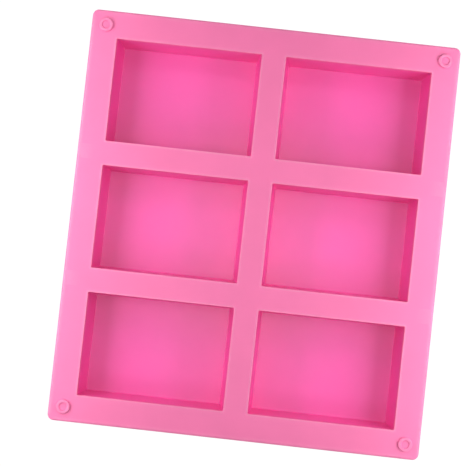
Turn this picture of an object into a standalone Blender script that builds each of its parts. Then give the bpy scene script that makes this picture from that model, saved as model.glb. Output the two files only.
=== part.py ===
"""Six-cavity silicone soap bar mould: two columns and three rows of rectangular cups under one flange.

Units are metres, +Z is up, and the origin is on the ground under the middle of the mould.
The mould is one soft moulding. It is modelled as the regions that flex against each other:
three rigid rows of flange and cups, the thin web between two rows, which folds, and the floor
of each cup, which is pressed up to free a bar. Touching regions keep a gap of SEAM.
"""

import math

import bmesh
import bpy
from mathutils import Matrix, Vector

# Cavities: mouth size, depth and how much each wall leans in by the floor
CAVITY_LENGTH = 0.0800
CAVITY_WIDTH = 0.0564
CAVITY_DEPTH = 0.0250
END_WALL_LEAN = 0.0023
LONG_WALL_LEAN = 0.0011

# Spacing of the cavities in the sheet
COLUMN_GAP = 0.0132
ROW_GAP = 0.0132
SIDE_MARGIN = 0.0146
END_MARGIN = 0.0150

# Thicknesses
FLANGE_THICKNESS = 0.0030
WALL_THICKNESS = 0.0025
FLOOR_THICKNESS = 0.0025

# Edges
SHEET_CORNER_RADIUS = 0.0034
SHEET_TOP_ROUND = 0.0012
SHEET_BOTTOM_ROUND = 0.0005
CUP_CORNER_RADIUS = 0.0030
CORNER_STEPS = 6
ROUND_STEPS = 3

# Gaps between regions that touch on the real mould
SEAM = 0.0003
FLOOR_LIFT = 0.0004

# Folding web between two rows: half of what bends, and half of the flange left out for it
WEB_HALF_WIDTH = 0.0036
PANEL_SETBACK = 0.0040

# Corner rings
RING_INSET = 0.0081
RING_RADIUS = 0.0040
RING_HOLE_RADIUS = 0.0021
RING_HEIGHT = 0.0012
RING_HOLE_DEPTH = 0.0007
RING_ROUND = 0.0004
RING_SIDES = 24

# Worked out from the sizes above
TOP_Z = CAVITY_DEPTH + FLOOR_THICKNESS
FLANGE_UNDER_Z = TOP_Z - FLANGE_THICKNESS
COLUMN_PITCH = CAVITY_LENGTH + COLUMN_GAP
ROW_PITCH = CAVITY_WIDTH + ROW_GAP
SHEET_HALF_X = COLUMN_GAP / 2 + CAVITY_LENGTH + SIDE_MARGIN
SHEET_HALF_Y = ROW_PITCH + CAVITY_WIDTH / 2 + END_MARGIN
WEB_Y = ROW_PITCH / 2

ROWS = {"back": 1, "middle": 0, "front": -1}
COLUMNS = {"left": -1, "right": 1}
CUTTER_MARGIN = 0.0100

# Silicone colours: the flange, the inside of the cups, their floors and the webs
FLANGE_PINK = (0.94, 0.21, 0.46, 1.0)
CUP_PINK = (0.80, 0.09, 0.30, 1.0)
FLOOR_PINK = (0.90, 0.15, 0.40, 1.0)
WEB_PINK = (0.92, 0.19, 0.44, 1.0)
RING_PINK = (0.95, 0.24, 0.48, 1.0)


def clear_scene():
    for obj in list(bpy.data.objects):
        bpy.data.objects.remove(obj, do_unlink=True)


def silicone(name, colour):
    """Satin, slightly glossy silicone."""
    material = bpy.data.materials.new(name)
    material.use_nodes = True
    shader = material.node_tree.nodes["Principled BSDF"]
    shader.inputs["Base Color"].default_value = colour
    shader.inputs["Roughness"].default_value = 0.45
    shader.inputs["Metallic"].default_value = 0.0
    material.diffuse_color = colour
    return material


def rounded_rectangle(half_x, half_y, radius, z):
    """Points of a rectangle with round corners, counter-clockwise from the +X +Y corner."""
    points = []
    for quarter, (side_x, side_y) in enumerate([(1, 1), (-1, 1), (-1, -1), (1, -1)]):
        centre = Vector((side_x * (half_x - radius), side_y * (half_y - radius), z))
        for step in range(CORNER_STEPS + 1):
            angle = math.pi / 2 * (quarter + step / CORNER_STEPS)
            points.append(centre + radius * Vector((math.cos(angle), math.sin(angle), 0)))
    return points


def rectangle(half_x, half_y, z):
    return [Vector((side_x * half_x, side_y * half_y, z))
            for side_x, side_y in [(1, 1), (-1, 1), (-1, -1), (1, -1)]]


def circle(radius, z):
    return [Vector((radius * math.cos(turn), radius * math.sin(turn), z))
            for turn in (2 * math.pi * side / RING_SIDES for side in range(RING_SIDES))]


def stacked(name, loops):
    """A closed solid through loops of equal length, the first loop facing down, the last up."""
    bm = bmesh.new()
    rings = [[bm.verts.new(point) for point in loop] for loop in loops]
    count = len(rings[0])
    for lower, upper in zip(rings, rings[1:]):
        for i in range(count):
            j = (i + 1) % count
            bm.faces.new((lower[i], lower[j], upper[j], upper[i]))
    bm.faces.new(list(reversed(rings[0])))
    bm.faces.new(rings[-1])
    mesh = bpy.data.meshes.new(name)
    bm.to_mesh(mesh)
    bm.free()
    return mesh


def block(name, low, high):
    """A plain box between two corners."""
    bm = bmesh.new()
    bmesh.ops.create_cube(bm, size=1.0)
    size = Vector(high) - Vector(low)
    middle = (Vector(high) + Vector(low)) / 2
    bmesh.ops.transform(bm, matrix=Matrix.Translation(middle) @ Matrix.Diagonal((*size, 1.0)), verts=bm.verts)
    mesh = bpy.data.meshes.new(name)
    bm.to_mesh(mesh)
    bm.free()
    return mesh


def add_object(name, mesh, location=(0, 0, 0), parent=None, material=None):
    obj = bpy.data.objects.new(name, mesh)
    bpy.context.collection.objects.link(obj)
    if parent is not None:
        obj.parent = parent
        location = Vector(location) - parent.location
    obj.location = location
    if material is not None:
        mesh.materials.append(material)
    return obj


def add_cutter(name, mesh, location=(0, 0, 0)):
    """A guide solid: it shapes other solids and is not part of the mould."""
    cutter = add_object(name, mesh, location)
    cutter.hide_render = True
    cutter.display_type = "WIRE"
    return cutter


def boolean(obj, cutter, operation):
    modifier = obj.modifiers.new(cutter.name, "BOOLEAN")
    modifier.operation = operation
    modifier.object = cutter
    modifier.solver = "EXACT"


def inner_half_sizes(z):
    """Half length and half width between a cup's walls at height z, with their lean."""
    depth = (TOP_Z - z) / CAVITY_DEPTH
    return CAVITY_LENGTH / 2 - END_WALL_LEAN * depth, CAVITY_WIDTH / 2 - LONG_WALL_LEAN * depth


def sheet_mesh():
    """The whole flange as one sheet, its top edge well rounded and its bottom edge slightly."""
    loops = []
    for step in range(ROUND_STEPS):
        turn = math.pi / 2 * step / ROUND_STEPS
        inset = SHEET_BOTTOM_ROUND * (1 - math.sin(turn))
        z = FLANGE_UNDER_Z + SHEET_BOTTOM_ROUND * (1 - math.cos(turn))
        loops.append((inset, z))
    loops.append((0.0, FLANGE_UNDER_Z + SHEET_BOTTOM_ROUND))
    for step in range(ROUND_STEPS + 1):
        turn = math.pi / 2 * step / ROUND_STEPS
        inset = SHEET_TOP_ROUND * (1 - math.cos(turn))
        z = TOP_Z - SHEET_TOP_ROUND * (1 - math.sin(turn))
        loops.append((inset, z))
    return stacked("sheet", [
        rounded_rectangle(SHEET_HALF_X - inset, SHEET_HALF_Y - inset, SHEET_CORNER_RADIUS - inset, z)
        for inset, z in loops])


def cavity_cutter_mesh():
    """The space inside a cup, carried on above and below it at the same lean."""
    heights = (-CUTTER_MARGIN, TOP_Z + CUTTER_MARGIN)
    return stacked("cavity", [rectangle(*inner_half_sizes(z), z) for z in heights])


def cup_mesh():
    """The outer shape of a cup's walls, before its inside is cut out."""
    loops = []
    for z in (0.0, FLANGE_UNDER_Z - SEAM):
        half_x, half_y = inner_half_sizes(z)
        loops.append(rounded_rectangle(half_x + WALL_THICKNESS, half_y + WALL_THICKNESS, CUP_CORNER_RADIUS, z))
    return stacked("cup_walls", loops)


def floor_mesh():
    """A cup's floor, its edge parallel to the walls around it."""
    loops = []
    for z in (FLOOR_LIFT, FLOOR_THICKNESS):
        half_x, half_y = inner_half_sizes(z)
        loops.append(rectangle(half_x - SEAM, half_y - SEAM, z - FLOOR_LIFT))
    return stacked("floor", loops)


def ring_mesh():
    """A low raised ring with rounded rims and a blind hole in the middle."""
    top = RING_HEIGHT
    profile = [
        (RING_RADIUS, 0.0),
        (RING_RADIUS, top - RING_ROUND),
        (RING_RADIUS - 0.3 * RING_ROUND, top - 0.3 * RING_ROUND),
        (RING_RADIUS - RING_ROUND, top),
        (RING_HOLE_RADIUS + RING_ROUND, top),
        (RING_HOLE_RADIUS + 0.3 * RING_ROUND, top - 0.3 * RING_ROUND),
        (RING_HOLE_RADIUS, top - RING_ROUND),
        (RING_HOLE_RADIUS, top - RING_HOLE_DEPTH),
    ]
    mesh = stacked("corner_ring", [circle(radius, z) for radius, z in profile])
    mesh.shade_smooth()
    mesh.set_sharp_from_angle(angle=math.radians(35))
    return mesh


def row_pivots():
    """An empty for each row, on the line that the row folds about."""
    pivots = {}
    fold_z = TOP_Z - FLANGE_THICKNESS / 2
    for row, side in ROWS.items():
        pivot = bpy.data.objects.new("pivot_" + row, None)
        bpy.context.collection.objects.link(pivot)
        pivot.location = (0.0, side * WEB_Y, fold_z if side else 0.0)
        pivots[row] = pivot
    return pivots


def panel_limits(side):
    """How far a row's flange panel runs in Y: to the sheet's end, or short of a folding web."""
    far = SHEET_HALF_Y + CUTTER_MARGIN
    near = WEB_Y + PANEL_SETBACK
    if side == 0:
        return -(WEB_Y - PANEL_SETBACK), WEB_Y - PANEL_SETBACK
    return tuple(sorted((side * near, side * far)))


def sheet_region(name, sheet, y_low, y_high, parent, material, origin_y):
    """The stretch of the sheet between two Y values, as its own object."""
    bounds_x = SHEET_HALF_X + CUTTER_MARGIN
    slab = add_cutter(name + "_slab", block(
        name + "_slab", (-bounds_x, y_low, -CUTTER_MARGIN), (bounds_x, y_high, TOP_Z + CUTTER_MARGIN)))
    mesh = sheet.copy()
    mesh.transform(Matrix.Translation((0, -origin_y, 0)))
    region = add_object(name, mesh, (0, origin_y, 0), parent, material)
    boolean(region, slab, "INTERSECT")
    return region


def build():
    clear_scene()
    flange_pink = silicone("silicone_flange", FLANGE_PINK)
    cup_pink = silicone("silicone_cup_walls", CUP_PINK)
    floor_pink = silicone("silicone_floor", FLOOR_PINK)
    web_pink = silicone("silicone_web", WEB_PINK)
    ring_pink = silicone("silicone_ring", RING_PINK)

    pivots = row_pivots()
    sheet = sheet_mesh()
    cavity = cavity_cutter_mesh()
    bpy.context.view_layer.update()

    for row, side in ROWS.items():
        pivot = pivots[row]
        row_y = side * ROW_PITCH
        y_low, y_high = panel_limits(side)
        flange = sheet_region("flange_" + row, sheet, y_low, y_high, pivot, flange_pink, row_y)
        for column, hand in COLUMNS.items():
            place = (hand * COLUMN_PITCH / 2, row_y, 0)
            cutter = add_cutter("cavity_" + row + "_" + column, cavity, place)
            boolean(flange, cutter, "DIFFERENCE")
            cup = add_object("cup_" + row + "_" + column, cup_mesh(), place, pivot, cup_pink)
            boolean(cup, cutter, "DIFFERENCE")
            floor_place = (place[0], place[1], FLOOR_LIFT)
            add_object("floor_" + row + "_" + column, floor_mesh(), floor_place, pivot, floor_pink)

    for row in ("back", "front"):
        side = ROWS[row]
        web_y = side * WEB_Y
        sheet_region("flex_web_" + row, sheet, web_y - WEB_HALF_WIDTH, web_y + WEB_HALF_WIDTH,
                     pivots["middle"], web_pink, web_y)
        for column, hand in COLUMNS.items():
            place = (hand * (SHEET_HALF_X - RING_INSET), side * (SHEET_HALF_Y - RING_INSET), TOP_Z + SEAM)
            add_object("corner_ring_" + row + "_" + column, ring_mesh(), place, pivots[row], ring_pink)


build()
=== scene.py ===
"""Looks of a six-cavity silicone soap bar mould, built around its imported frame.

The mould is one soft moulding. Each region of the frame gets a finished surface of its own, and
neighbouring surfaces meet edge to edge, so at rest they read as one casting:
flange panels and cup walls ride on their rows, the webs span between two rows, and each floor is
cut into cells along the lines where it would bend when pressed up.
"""

import math

import bmesh
import bpy
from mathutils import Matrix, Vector


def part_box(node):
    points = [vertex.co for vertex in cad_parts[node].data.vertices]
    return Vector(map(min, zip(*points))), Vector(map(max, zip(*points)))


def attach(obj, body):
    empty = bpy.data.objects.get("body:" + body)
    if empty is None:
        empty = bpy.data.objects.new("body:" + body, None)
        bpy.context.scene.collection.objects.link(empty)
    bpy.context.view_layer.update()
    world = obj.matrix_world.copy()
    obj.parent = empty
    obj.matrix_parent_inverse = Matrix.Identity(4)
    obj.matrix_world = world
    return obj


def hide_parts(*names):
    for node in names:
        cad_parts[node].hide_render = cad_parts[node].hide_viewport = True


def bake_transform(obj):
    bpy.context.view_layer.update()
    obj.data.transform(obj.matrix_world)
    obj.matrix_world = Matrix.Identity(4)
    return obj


MM = 0.001

ROWS = ("back", "middle", "front")
COLUMNS = ("left", "right")

# Sizes that the boxes of the frame's nodes don't give
MOUTH_LENGTH = 80.0 * MM
MOUTH_WIDTH = 56.4 * MM
END_WALL_LEAN = 2.3 * MM
LONG_WALL_LEAN = 1.1 * MM
CAVITY_DEPTH = 25.0 * MM
WALL_THICKNESS = 2.5 * MM
CUP_CORNER = 3.0 * MM
CAVITY_CORNER = 0.6 * MM
SHEET_CORNER = 3.4 * MM

# Roundings
SHEET_TOP_ROUND = 1.2 * MM
SHEET_BOTTOM_ROUND = 0.5 * MM
LIP_ROUND = 0.45 * MM
BASE_FILLET = 0.3 * MM
CUP_BOTTOM_ROUND = 1.0 * MM
CUP_TOP_FILLET = 1.0 * MM

# Corner rings: the hole is a share of the ring's radius wide, its blind floor lies this far above the
# flange, the foot flares outwards, and the whole ring is sunk a little into the flange
RING_HOLE_SHARE = 0.525
RING_HOLE_FLOOR = 0.8 * MM
RING_HOLE_ROUND = 0.2 * MM
RING_EDGE_ROUND = 0.4 * MM
RING_FOOT_HEIGHT = 0.35 * MM
RING_FOOT_TAPER = 0.6
RING_SINK = 0.2 * MM

# How finely the surfaces are divided; the shares are where the loops on a flat part lie
ROUND_STEPS = 5
CORNER_STEPS = 6
SIDE_STEPS = 12
CORNER_SPREAD = 2.0 * MM
WEB_STEPS = 20
FLOOR_STEPS = 12
RING_SIDES = 64
FLANGE_TOP_SHARES = (0.12, 0.5)
LIP_LAND = 1.0 * MM
RING_FOOT_ANGLES = (30, 60, 90)
RING_HOLE_FLOOR_SHARES = (0.6, 0.25)

# Points within the merge distance become one, faces within the join distance of the sheet's middle are
# where its halves join, and edges sharper than the angle stay sharp
MERGE_DISTANCE = 1e-7
JOIN_DISTANCE = 1e-6
SHARP_ANGLE = math.radians(40)

# A pressed floor bends over this width inside its walls. In its corners the cells touch a smooth dome
# along lines with these slopes
FLOOR_BEND_WIDTH = 12.0 * MM
FLOOR_CORNER_FAN = (6.0, 2.3, 1.0, 1 / 2.3, 1 / 6.0)

# How much the exposed edges are paled towards white, from none to full: rubbing on all of them, and on the
# cavity lips also a painted highlight
LIP_WEAR_AND_HIGHLIGHT = 1.0
RING_WEAR = 0.6
SHEET_EDGE_WEAR = 0.5
SHEET_EDGE_MARGIN = 0.05 * MM
BASE_WEAR = 0.4

# Silicone finishes: name, colour, roughness, gloss, depth of the grain. The three colours are one silicone
# lit and shaded differently: the flange's paler colour is painted sheen, the floor's paler, less saturated
# colour is painted sheen, and the cavity walls' deeper colour is painted shade of light bouncing and
# scattering inside the cavities.
SATIN_PAINTED_SHEEN = ("silicone_satin_painted_sheen", (0.955, 0.160, 0.412), 0.50, 1.0, 0.03 * MM)
SMOOTH_PAINTED_SHADE = ("silicone_smooth_painted_shade", (0.935, 0.058, 0.398), 0.33, 0.95, 0.008 * MM)
CAVITY_FLOOR_PAINTED_SHEEN = ("silicone_floor", (0.900, 0.074, 0.420), 0.34, 1.0, 0.008 * MM)

# What all finishes share; a noise is its scale, detail and roughness
SILICONE_IOR = 1.5
SHEEN = 0.03
SHEEN_ROUGHNESS = 0.5
CLOUDS = (38.0, 3.0, 0.5)
GRAIN = (2600.0, 2.0, 0.5)
WAVES = (24.0, 1.0, 0.5)
SCUFFS = (420.0, 4.0, 0.6)
NOISE_RANGE = (0.25, 0.75)
DEEP_SHADE = 0.965
PALE_SHADE = 1.03
PALE_LIFT = 0.003
# Paler rims: rubbing, and on the cavity lips a painted highlight
WEAR_AND_HIGHLIGHT_LIFT = 0.18
WEAR_AND_HIGHLIGHT_AMOUNT = (0.15, 0.75)
ROUGHNESS_SPREAD = (-0.03, 0.04)
WAVE_STRENGTH = 0.25
WAVE_DEPTH = 0.6 * MM
GRAIN_STRENGTH = 0.35

# Studio: the floor lies lower than the mould's base by what the outer rows need to fold down
STUDIO_FLOOR_HALF = 12.0
STUDIO_FLOOR_DROP = 22.0 * MM
BACKDROP_RADIUS = 10.0
STUDIO_WHITE = 1.05
WORLD_STRENGTH = 0.18

# Softboxes, which all face straight down: name, centre, size, power in watts
SOFTBOXES = (
    ("softbox_back", (0, 0.35, 0.53), (0.50, 0.12), 0.28),
    ("softbox_front", (0, -0.35, 0.53), (0.50, 0.12), 0.28),
    ("softbox_left", (-0.26, 0, 0.18), (0.22, 0.34), 0.93),
    ("softbox_top_left", (-0.055, 0, 0.63), (0.09, 0.30), 0.25),
    ("softbox_right", (0.26, 0, 0.18), (0.22, 0.34), 0.93),
    ("softbox_top_right", (0.055, 0, 0.63), (0.09, 0.30), 0.25),
)

# Camera: lens and sensor in millimetres, place over the flange's top in metres, turn in degrees
CAMERA_LENS = 105.12
CAMERA_SENSOR = 36.0
CAMERA_PLACE = (-0.0048, -0.0245, 0.7400)
CAMERA_TURN = (1.857, 0.361, 6.273)

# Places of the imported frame
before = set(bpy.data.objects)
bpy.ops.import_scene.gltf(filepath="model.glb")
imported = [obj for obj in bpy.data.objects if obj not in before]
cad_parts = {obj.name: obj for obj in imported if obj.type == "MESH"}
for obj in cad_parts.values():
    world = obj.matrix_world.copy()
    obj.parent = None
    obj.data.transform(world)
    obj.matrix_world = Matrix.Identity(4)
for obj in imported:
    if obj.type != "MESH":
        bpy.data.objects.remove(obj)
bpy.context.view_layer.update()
TOP_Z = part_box("flange_middle")[1].z
UNDER_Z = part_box("flange_middle")[0].z
FLOOR_TOP_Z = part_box("floor_middle_left")[1].z
SHEET_HIGH = Vector((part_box("flange_back")[1].x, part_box("flange_back")[1].y))


# ---------------------------------------------------------------- outlines

def corner_points(corner, side_x, side_y, quarter, radius):
    """Points round one corner of a rectangle: an arc, or both sides of a square corner."""
    points = []
    if radius > 0:
        centre = corner - Vector((side_x * radius, side_y * radius))
        for step in range(CORNER_STEPS + 1):
            angle = math.pi / 2 * (quarter + step / CORNER_STEPS)
            points.append(centre + radius * Vector((math.cos(angle), math.sin(angle))))
        return points
    start = math.pi / 2 * quarter
    inward = Vector((math.cos(start), math.sin(start)))
    along_in = Vector((-inward.y, inward.x))
    for step in range(CORNER_STEPS + 1):
        share = 2 * step / CORNER_STEPS
        if share <= 1:
            points.append(corner - along_in * CORNER_SPREAD * (1 - share))
        else:
            points.append(corner - inward * CORNER_SPREAD * (share - 1))
    return points


def outline(low, high, z, radii):
    """Points round a rectangle, counter-clockwise from its +X +Y corner, with a radius per corner."""
    corners = []
    for quarter, (side_x, side_y) in enumerate([(1, 1), (-1, 1), (-1, -1), (1, -1)]):
        corner = Vector((high.x if side_x > 0 else low.x, high.y if side_y > 0 else low.y))
        corners.append(corner_points(corner, side_x, side_y, quarter, radii[quarter]))
    points = []
    for quarter, group in enumerate(corners):
        points += group
        after = corners[(quarter + 1) % 4][0]
        points += [group[-1].lerp(after, step / SIDE_STEPS) for step in range(1, SIDE_STEPS)]
    return [Vector((p.x, p.y, z)) for p in points]


def between(first, second, share):
    return [a.lerp(b, share) for a, b in zip(first, second)]


def quarter_round(size, convex=True):
    """(sideways, upwards) offsets along a quarter round that starts level and ends upright."""
    steps = [math.pi / 2 * step / ROUND_STEPS for step in range(ROUND_STEPS + 1)]
    if convex:
        return [(size * (1 - math.sin(turn)), size * (1 - math.cos(turn))) for turn in steps]
    return [(size * (1 - math.cos(turn)), size * math.sin(turn)) for turn in steps]


def inner_half(z):
    """Half length and half width between the walls of a cavity at height z."""
    depth = (TOP_Z - z) / CAVITY_DEPTH
    return Vector((MOUTH_LENGTH / 2 - END_WALL_LEAN * depth, MOUTH_WIDTH / 2 - LONG_WALL_LEAN * depth))


def cavity_outline(centre, z, outset=0.0, radius=CAVITY_CORNER, at_z=None):
    """Outline of a cavity at height z, moved out by outset, drawn at height at_z."""
    half = inner_half(z) + Vector((outset, outset))
    height = z if at_z is None else at_z
    return outline(centre - half, centre + half, height, [max(radius, 0.0)] * 4)


# ---------------------------------------------------------------- meshes

def new_piece(name, bm):
    """A smooth-shaded object from a bmesh, sharp only at real edges."""
    bmesh.ops.remove_doubles(bm, verts=bm.verts, dist=MERGE_DISTANCE)
    mesh = bpy.data.meshes.new(name)
    bm.to_mesh(mesh)
    bm.free()
    mesh.shade_smooth()
    mesh.set_sharp_from_angle(angle=SHARP_ANGLE)
    obj = bpy.data.objects.new(name, mesh)
    bpy.context.scene.collection.objects.link(obj)
    return obj


def add_ring_surface(bm, stages, closed=True, caps=False):
    """Quads through (loop, rim) stages of equal length.

    rim is how pale the edge is there, from rubbing and on the cavity lips also painted highlight: a number,
    or a function of the point.
    """
    layer = bm.verts.layers.float.get("rim") or bm.verts.layers.float.new("rim")
    rings = []
    for loop, rim in stages:
        ring = [bm.verts.new(point) for point in loop]
        for vert in ring:
            vert[layer] = rim(vert.co) if callable(rim) else rim
        rings.append(ring)
    count = len(rings[0])
    pairs = list(zip(rings, rings[1:]))
    if closed:
        pairs.append((rings[-1], rings[0]))
    for lower, upper in pairs:
        for i in range(count):
            j = (i + 1) % count
            bm.faces.new((lower[i], lower[j], upper[j], upper[i]))
    if caps:
        bm.faces.new(list(reversed(rings[0])))
        bm.faces.new(rings[-1])


def sheet_edge_wear(point):
    """Wear of the sheet's own outer edge: none where a panel only meets its neighbour."""
    gap = min(SHEET_HIGH.x - abs(point.x), SHEET_HIGH.y - abs(point.y))
    return SHEET_EDGE_WEAR if gap < SHEET_TOP_ROUND + SHEET_EDGE_MARGIN else 0.0


def cavity_centre(row, column):
    low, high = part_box("cup_" + row + "_" + column)
    return Vector(((low.x + high.x) / 2, (low.y + high.y) / 2))


def flange_cell_stages(row, column, low, high):
    """The closed surface of one column's half of a flange panel, from the outer edge in to the mouth."""
    outer_side = -1 if column == "left" else 1
    cell_low = Vector((low.x if outer_side < 0 else 0.0, low.y))
    cell_high = Vector((0.0 if outer_side < 0 else high.x, high.y))
    open_back = row == "back"
    open_front = row == "front"

    def sheet_outline(inset, z):
        inner_low = cell_low + Vector((inset if outer_side < 0 else 0.0, inset if open_front else 0.0))
        inner_high = cell_high - Vector((inset if outer_side > 0 else 0.0, inset if open_back else 0.0))
        radii = [0.0, 0.0, 0.0, 0.0]
        if open_back:
            radii[0 if outer_side > 0 else 1] = SHEET_CORNER - inset
        if open_front:
            radii[3 if outer_side > 0 else 2] = SHEET_CORNER - inset
        return outline(inner_low, inner_high, z, radii)

    centre = cavity_centre(row, column)
    stages = []
    for sideways, up in quarter_round(SHEET_BOTTOM_ROUND):
        stages.append((sheet_outline(sideways, UNDER_Z + up), 0.0))
    for sideways, up in reversed(quarter_round(SHEET_TOP_ROUND)):
        stages.append((sheet_outline(sideways, TOP_Z - up), sheet_edge_wear))
    top_edge = stages[-1][0]
    rim_edge = cavity_outline(centre, TOP_Z, LIP_ROUND + LIP_LAND, CAVITY_CORNER + LIP_ROUND + LIP_LAND)
    for share in FLANGE_TOP_SHARES:
        stages.append((between(top_edge, rim_edge, share), 0.0))
    stages.append((rim_edge, 0.0))
    # The cavity lip is paled as rubbed silicone and as a painted highlight.
    for sideways, up in reversed(quarter_round(LIP_ROUND, convex=False)):
        out = LIP_ROUND - sideways
        lip = cavity_outline(centre, TOP_Z, out, CAVITY_CORNER + out, TOP_Z - LIP_ROUND + up)
        stages.append((lip, LIP_WEAR_AND_HIGHLIGHT))
    stages.append((cavity_outline(centre, UNDER_Z), 0.0))
    stages.append((between(stages[-1][0], stages[0][0], 0.5), 0.0))
    return stages


def flange_panel(row):
    """One row's flange: its two halves, joined along the middle of the sheet."""
    low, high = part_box("flange_" + row)
    bm = bmesh.new()
    for column in COLUMNS:
        add_ring_surface(bm, flange_cell_stages(row, column, low.xy, high.xy))
    middle = [f for f in bm.faces if all(abs(v.co.x) < JOIN_DISTANCE for v in f.verts)]
    bmesh.ops.delete(bm, geom=middle, context="FACES")
    bmesh.ops.remove_doubles(bm, verts=bm.verts, dist=JOIN_DISTANCE)
    return new_piece("flange_" + row + "_skin", bm)


def cup_walls(row, column):
    """The four walls of a cavity below the flange, with a fillet at each end."""
    centre = cavity_centre(row, column)
    stages = []
    wall = WALL_THICKNESS
    for sideways, up in quarter_round(CUP_BOTTOM_ROUND):
        stages.append((cavity_outline(centre, up, wall - sideways, CUP_CORNER - sideways), BASE_WEAR))
    flare_z = UNDER_Z - CUP_TOP_FILLET
    for sideways, up in quarter_round(CUP_TOP_FILLET, convex=False):
        stages.append((cavity_outline(centre, flare_z + up, wall + sideways, CUP_CORNER + sideways), 0.0))
    stages.append((cavity_outline(centre, UNDER_Z), 0.0))
    stages.append((cavity_outline(centre, (UNDER_Z + FLOOR_TOP_Z) / 2), 0.0))
    for sideways, up in reversed(quarter_round(BASE_FILLET)):
        z = FLOOR_TOP_Z + up
        stages.append((cavity_outline(centre, z, -sideways, CAVITY_CORNER - sideways), 0.0))
    stages.append((cavity_outline(centre, FLOOR_TOP_Z, -BASE_FILLET, 0.0, at_z=0.0), 0.0))
    bm = bmesh.new()
    add_ring_surface(bm, stages)
    return new_piece("cup_" + row + "_" + column + "_walls", bm)


def clip_polygon(points, normal, limit):
    """The part of a convex polygon where normal . point is at most limit."""
    kept = []
    for start, end in zip(points, points[1:] + points[:1]):
        over_start, over_end = normal.dot(start) - limit, normal.dot(end) - limit
        if over_start <= 0:
            kept.append(start)
        if (over_start < 0 < over_end) or (over_end < 0 < over_start):
            kept.append(start.lerp(end, over_start / (over_start - over_end)))
    return kept


def floor_cells(half):
    """How a pressed floor bends: along its sides and in fans at its corners, as (name, polygon, foot, rise).

    The lift of the floor is the least of all the planes that start at foot and climb by rise per metre, so
    each cell bends along one direction only and neighbours agree along their shared edge. The planes of a
    corner touch the smooth dome x y / (x + y), where x and y are the distances to its two walls.
    """
    slopes = []
    for name, outward in (("right", (1, 0)), ("back", (0, 1)), ("left", (-1, 0)), ("front", (0, -1))):
        outward = Vector(outward)
        foot = Vector((outward.x * half.x, outward.y * half.y))
        slopes.append((name, foot, -outward / FLOOR_BEND_WIDTH))
    for name, (side_x, side_y) in (("back_right", (1, 1)), ("back_left", (-1, 1)),
                                   ("front_left", (-1, -1)), ("front_right", (1, -1))):
        foot = Vector((side_x * half.x, side_y * half.y))
        for fan, ratio in enumerate(FLOOR_CORNER_FAN):
            climb = Vector((-side_x * ratio ** 2, -side_y)) / (1 + ratio) ** 2
            slopes.append((name + "_" + str(fan), foot, climb / FLOOR_BEND_WIDTH))
    cells = []
    for name, foot, rise in slopes:
        polygon = [Vector((half.x, half.y)), Vector((-half.x, half.y)),
                   Vector((-half.x, -half.y)), Vector((half.x, -half.y))]
        for other_name, other_foot, other_rise in slopes:
            if other_name != name:
                limit = rise.dot(foot) - other_rise.dot(other_foot)
                polygon = clip_polygon(polygon, rise - other_rise, limit)
        cells.append((name, polygon, foot, rise))
    return cells


def floor_cell(row, column, cell):
    """One cell of a floor as a closed slab, cut across where it bends."""
    name, polygon, foot, rise = cell
    centre = cavity_centre(row, column)
    bm = bmesh.new()
    under, top = [[bm.verts.new((centre.x + p.x, centre.y + p.y, z)) for p in polygon]
                  for z in (0.0, FLOOR_TOP_Z)]
    bm.faces.new(top)
    bm.faces.new(list(reversed(under)))
    for i in range(len(polygon)):
        j = (i + 1) % len(polygon)
        bm.faces.new((under[i], under[j], top[j], top[i]))
    start = centre + foot
    reach = rise / rise.length_squared
    for step in range(1, FLOOR_STEPS + 1):
        spot = start + reach * step / FLOOR_STEPS
        bmesh.ops.bisect_plane(bm, geom=bm.verts[:] + bm.edges[:] + bm.faces[:], dist=MERGE_DISTANCE,
                               plane_co=(spot.x, spot.y, 0), plane_no=(rise.x, rise.y, 0))
    piece = new_piece("_".join(["floor", row, column, "cell", name]), bm)
    end = start + reach
    return piece, (start.x, start.y, FLOOR_TOP_Z), (end.x, end.y, FLOOR_TOP_Z)


def web_strip(row, side):
    """The strip of flange between the middle row and the row beyond it."""
    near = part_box("flange_middle")[1 if side > 0 else 0].y
    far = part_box("flange_" + row)[0 if side > 0 else 1].y
    half_x = SHEET_HIGH.x
    profile = []
    for sideways, up in quarter_round(SHEET_BOTTOM_ROUND):
        profile.append((half_x - sideways, UNDER_Z + up))
    for sideways, up in reversed(quarter_round(SHEET_TOP_ROUND)):
        profile.append((half_x - sideways, TOP_Z - up))
    flat = profile[-1][0]
    spans = 2 * SIDE_STEPS
    top = [(flat - 2 * flat * step / spans, TOP_Z) for step in range(1, spans)]
    mirrored = [(-x, z) for x, z in reversed(profile)]
    flat = profile[0][0]
    under = [(-flat + 2 * flat * step / spans, UNDER_Z) for step in range(1, spans)]
    section = profile + top + mirrored + under
    y_low, y_high = sorted((near, far))
    stages = []
    for step in range(WEB_STEPS + 1):
        y = y_high + (y_low - y_high) * step / WEB_STEPS
        stages.append(([Vector((x, y, z)) for x, z in section], sheet_edge_wear))
    bm = bmesh.new()
    add_ring_surface(bm, stages, closed=False, caps=True)
    piece = new_piece("flex_web_" + row + "_strip", bm)
    return piece, (0, near, TOP_Z), (0, far, TOP_Z)


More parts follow.
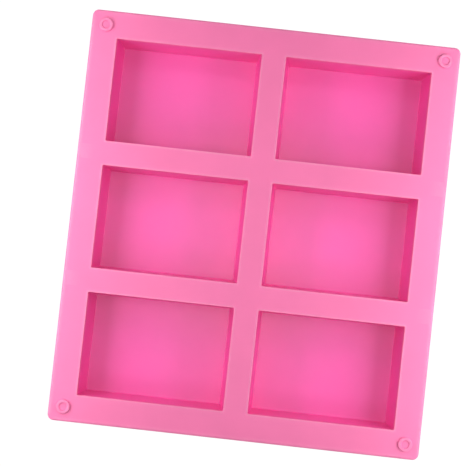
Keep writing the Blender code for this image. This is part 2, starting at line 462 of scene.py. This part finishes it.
def corner_ring(row, column):
    """A low moulded ring with rounded rims, a soft foot and a blind centre."""
    name = "corner_ring_" + row + "_" + column
    low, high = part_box(name)
    centre = (low + high) / 2
    radius = (high.x - low.x) / 2
    hole = RING_HOLE_SHARE * radius
    top = high.z
    hole_floor = TOP_Z + RING_HOLE_FLOOR
    profile = [(radius, TOP_Z - RING_SINK), (radius, TOP_Z)]
    for angle in RING_FOOT_ANGLES:
        turn = math.radians(angle)
        inward = RING_FOOT_HEIGHT * (1 - math.cos(turn)) * RING_FOOT_TAPER
        profile.append((radius - inward, TOP_Z + RING_FOOT_HEIGHT * math.sin(turn)))
    edge = profile[-1][0]
    profile += [(edge - inward, top - drop) for drop, inward in quarter_round(RING_EDGE_ROUND)]
    profile += [(hole + outward, top - drop) for outward, drop in quarter_round(RING_EDGE_ROUND)]
    profile += [(hole, hole_floor + RING_HOLE_ROUND), (hole - RING_HOLE_ROUND, hole_floor)]
    profile += [(hole * share, hole_floor) for share in RING_HOLE_FLOOR_SHARES]
    turns = [2 * math.pi * side / RING_SIDES for side in range(RING_SIDES)]
    stages = []
    for r, z in profile:
        rim = RING_WEAR if z > top - RING_EDGE_ROUND else 0.0
        loop = [Vector((centre.x + r * math.cos(t), centre.y + r * math.sin(t), z)) for t in turns]
        stages.append((loop, rim))
    bm = bmesh.new()
    add_ring_surface(bm, stages, closed=False, caps=True)
    return new_piece(name + "_boss", bm)


# ---------------------------------------------------------------- silicone

def silicone(name, colour, roughness, gloss, grain_depth):
    """Silicone with fine moulded grain, slow waves in the sheet, faint mottling and paler rims: rubbed, and
    on the cavity lips also a painted highlight.
    """
    material = bpy.data.materials.new(name)
    material.use_nodes = True
    nodes = material.node_tree.nodes
    links = material.node_tree.links
    shader = nodes["Principled BSDF"]
    shader.inputs["Metallic"].default_value = 0.0
    shader.inputs["IOR"].default_value = SILICONE_IOR
    shader.inputs["Specular IOR Level"].default_value = gloss
    shader.inputs["Sheen Weight"].default_value = SHEEN
    shader.inputs["Sheen Roughness"].default_value = SHEEN_ROUGHNESS

    place = nodes.new("ShaderNodeTexCoord")

    def noise(scale, detail, rough):
        node = nodes.new("ShaderNodeTexNoise")
        node.inputs["Scale"].default_value = scale
        node.inputs["Detail"].default_value = detail
        node.inputs["Roughness"].default_value = rough
        links.new(place.outputs["Object"], node.inputs["Vector"])
        return node.outputs["Fac"]

    def spread(source, low, high):
        node = nodes.new("ShaderNodeMapRange")
        node.inputs["From Min"].default_value, node.inputs["From Max"].default_value = NOISE_RANGE
        node.inputs["To Min"].default_value = low
        node.inputs["To Max"].default_value = high
        links.new(source, node.inputs["Value"])
        return node.outputs["Result"]

    def mix(factor, first, second):
        node = nodes.new("ShaderNodeMix")
        node.data_type = "RGBA"
        sockets = (("Factor", "VALUE", factor), ("A", "RGBA", first), ("B", "RGBA", second))
        for socket, kind, value in sockets:
            target = next(s for s in node.inputs if s.name == socket and s.type == kind)
            if isinstance(value, bpy.types.NodeSocket):
                links.new(value, target)
            else:
                target.default_value = value
        return next(s for s in node.outputs if s.type == "RGBA")

    def bump(height, strength, distance):
        node = nodes.new("ShaderNodeBump")
        node.inputs["Strength"].default_value = strength
        node.inputs["Distance"].default_value = distance
        links.new(height, node.inputs["Height"])
        return node

    clouds, grain, waves, scuffs = [noise(*kind) for kind in (CLOUDS, GRAIN, WAVES, SCUFFS)]

    deep = tuple(c * DEEP_SHADE for c in colour)
    pale = tuple(min(1.0, c * PALE_SHADE + PALE_LIFT) for c in colour)
    # Paler rims: rubbed silicone, and on the cavity lips a painted highlight as well.
    wear_and_highlight_colour = tuple(c + (1 - c) * WEAR_AND_HIGHLIGHT_LIFT for c in colour)
    rim = nodes.new("ShaderNodeAttribute")
    rim.attribute_name = "rim"
    wear_and_highlight_mask = nodes.new("ShaderNodeMath")
    wear_and_highlight_mask.operation = "MULTIPLY"
    links.new(rim.outputs["Fac"], wear_and_highlight_mask.inputs[0])
    links.new(spread(scuffs, *WEAR_AND_HIGHLIGHT_AMOUNT), wear_and_highlight_mask.inputs[1])
    mottled = mix(spread(clouds, 0.0, 1.0), (*deep, 1), (*pale, 1))
    links.new(mix(wear_and_highlight_mask.outputs["Value"], mottled, (*wear_and_highlight_colour, 1)), shader.inputs["Base Color"])

    smoothest, roughest = [roughness + change for change in ROUGHNESS_SPREAD]
    links.new(spread(scuffs, smoothest, roughest), shader.inputs["Roughness"])

    wave_bump = bump(waves, WAVE_STRENGTH, WAVE_DEPTH)
    grain_bump = bump(grain, GRAIN_STRENGTH, grain_depth)
    links.new(wave_bump.outputs["Normal"], grain_bump.inputs["Normal"])
    links.new(grain_bump.outputs["Normal"], shader.inputs["Normal"])
    return material


# ---------------------------------------------------------------- the mould

def finish_piece(piece, material, *nodes):
    """Gives a piece its silicone, and puts it in the place of its CAD nodes."""
    piece.data.materials.append(material)
    normals = piece.modifiers.new("face_weighted_normals", "WEIGHTED_NORMAL")
    normals.keep_sharp = True
    normals.mode = "FACE_AREA"
    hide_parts(*nodes)


def build_mould():
    # The three colours are lit and shaded copies of one silicone: painted sheen on the satin flange and the
    # floors, painted shade on the smooth cavity walls.
    satin = silicone(*SATIN_PAINTED_SHEEN)
    smooth = silicone(*SMOOTH_PAINTED_SHADE)
    cavity_floor_painted_sheen = silicone(*CAVITY_FLOOR_PAINTED_SHEEN)
    for row in ROWS:
        body = row + "_row"
        flange = flange_panel(row)
        finish_piece(flange, satin, "flange_" + row)
        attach(flange, body)
        for column in COLUMNS:
            cup = cup_walls(row, column)
            finish_piece(cup, smooth, "cup_" + row + "_" + column)
            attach(cup, body)
            for cell in floor_cells(inner_half(FLOOR_TOP_Z) - Vector((BASE_FILLET, BASE_FILLET))):
                piece, start, end = floor_cell(row, column, cell)
                finish_piece(piece, cavity_floor_painted_sheen, "floor_" + row + "_" + column)
                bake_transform(piece)
    for row, side in (("back", 1), ("front", -1)):
        strip, start, end = web_strip(row, side)
        finish_piece(strip, satin, "flex_web_" + row)
        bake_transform(strip)
        for column in COLUMNS:
            boss = corner_ring(row, column)
            finish_piece(boss, satin, "corner_ring_" + row + "_" + column)
            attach(boss, row + "_row")


# ---------------------------------------------------------------- studio

def add_white(name, bm):
    """A plain white surface of the studio, equally bright all over."""
    mesh = bpy.data.meshes.new(name)
    bm.to_mesh(mesh)
    bm.free()
    surface = bpy.data.objects.new(name, mesh)
    bpy.context.scene.collection.objects.link(surface)
    material = bpy.data.materials.new(name + "_white")
    material.use_nodes = True
    shader = material.node_tree.nodes["Principled BSDF"]
    shader.inputs["Base Color"].default_value = (0, 0, 0, 1)
    shader.inputs["Specular IOR Level"].default_value = 0.0
    shader.inputs["Emission Color"].default_value = (1, 1, 1, 1)
    shader.inputs["Emission Strength"].default_value = STUDIO_WHITE
    mesh.materials.append(material)
    return surface


def add_floor():
    bm = bmesh.new()
    bmesh.ops.create_grid(bm, x_segments=1, y_segments=1, size=STUDIO_FLOOR_HALF)
    bmesh.ops.translate(bm, vec=(0.0, 0.0, -STUDIO_FLOOR_DROP), verts=bm.verts)
    add_white("studio_floor", bm)


def add_backdrop():
    """A dome round everything, seen by the camera alone: it adds no light and blocks none."""
    bm = bmesh.new()
    bmesh.ops.create_icosphere(bm, subdivisions=3, radius=BACKDROP_RADIUS)
    backdrop = add_white("studio_backdrop", bm)
    backdrop.visible_diffuse = False
    backdrop.visible_glossy = False
    backdrop.visible_transmission = False
    backdrop.visible_shadow = False


def add_softbox(name, place, size, power):
    light = bpy.data.lights.new(name, "AREA")
    light.shape = "RECTANGLE"
    light.size, light.size_y = size
    light.energy = power
    obj = bpy.data.objects.new(name, light)
    bpy.context.scene.collection.objects.link(obj)
    obj.location = place
    obj.rotation_euler = Vector((0, 0, -place[2])).to_track_quat("-Z", "Y").to_euler()
    obj.visible_camera = False


def add_camera():
    camera = bpy.data.cameras.new("camera")
    camera.sensor_width = CAMERA_SENSOR
    camera.lens = CAMERA_LENS
    obj = bpy.data.objects.new("camera", camera)
    bpy.context.scene.collection.objects.link(obj)
    obj.location = (CAMERA_PLACE[0], CAMERA_PLACE[1], CAMERA_PLACE[2] + TOP_Z)
    obj.rotation_euler = [math.radians(angle) for angle in CAMERA_TURN]
    bpy.context.scene.camera = obj


def add_studio():
    add_floor()
    add_backdrop()
    for softbox in SOFTBOXES:
        add_softbox(*softbox)
    world = bpy.data.worlds.new("studio_world")
    bpy.context.scene.world = world
    world.use_nodes = True
    background = world.node_tree.nodes["Background"]
    background.inputs["Color"].default_value = (1, 1, 1, 1)
    background.inputs["Strength"].default_value = WORLD_STRENGTH
    bpy.context.scene.view_settings.view_transform = "Standard"


build_mould()
add_camera()
add_studio()
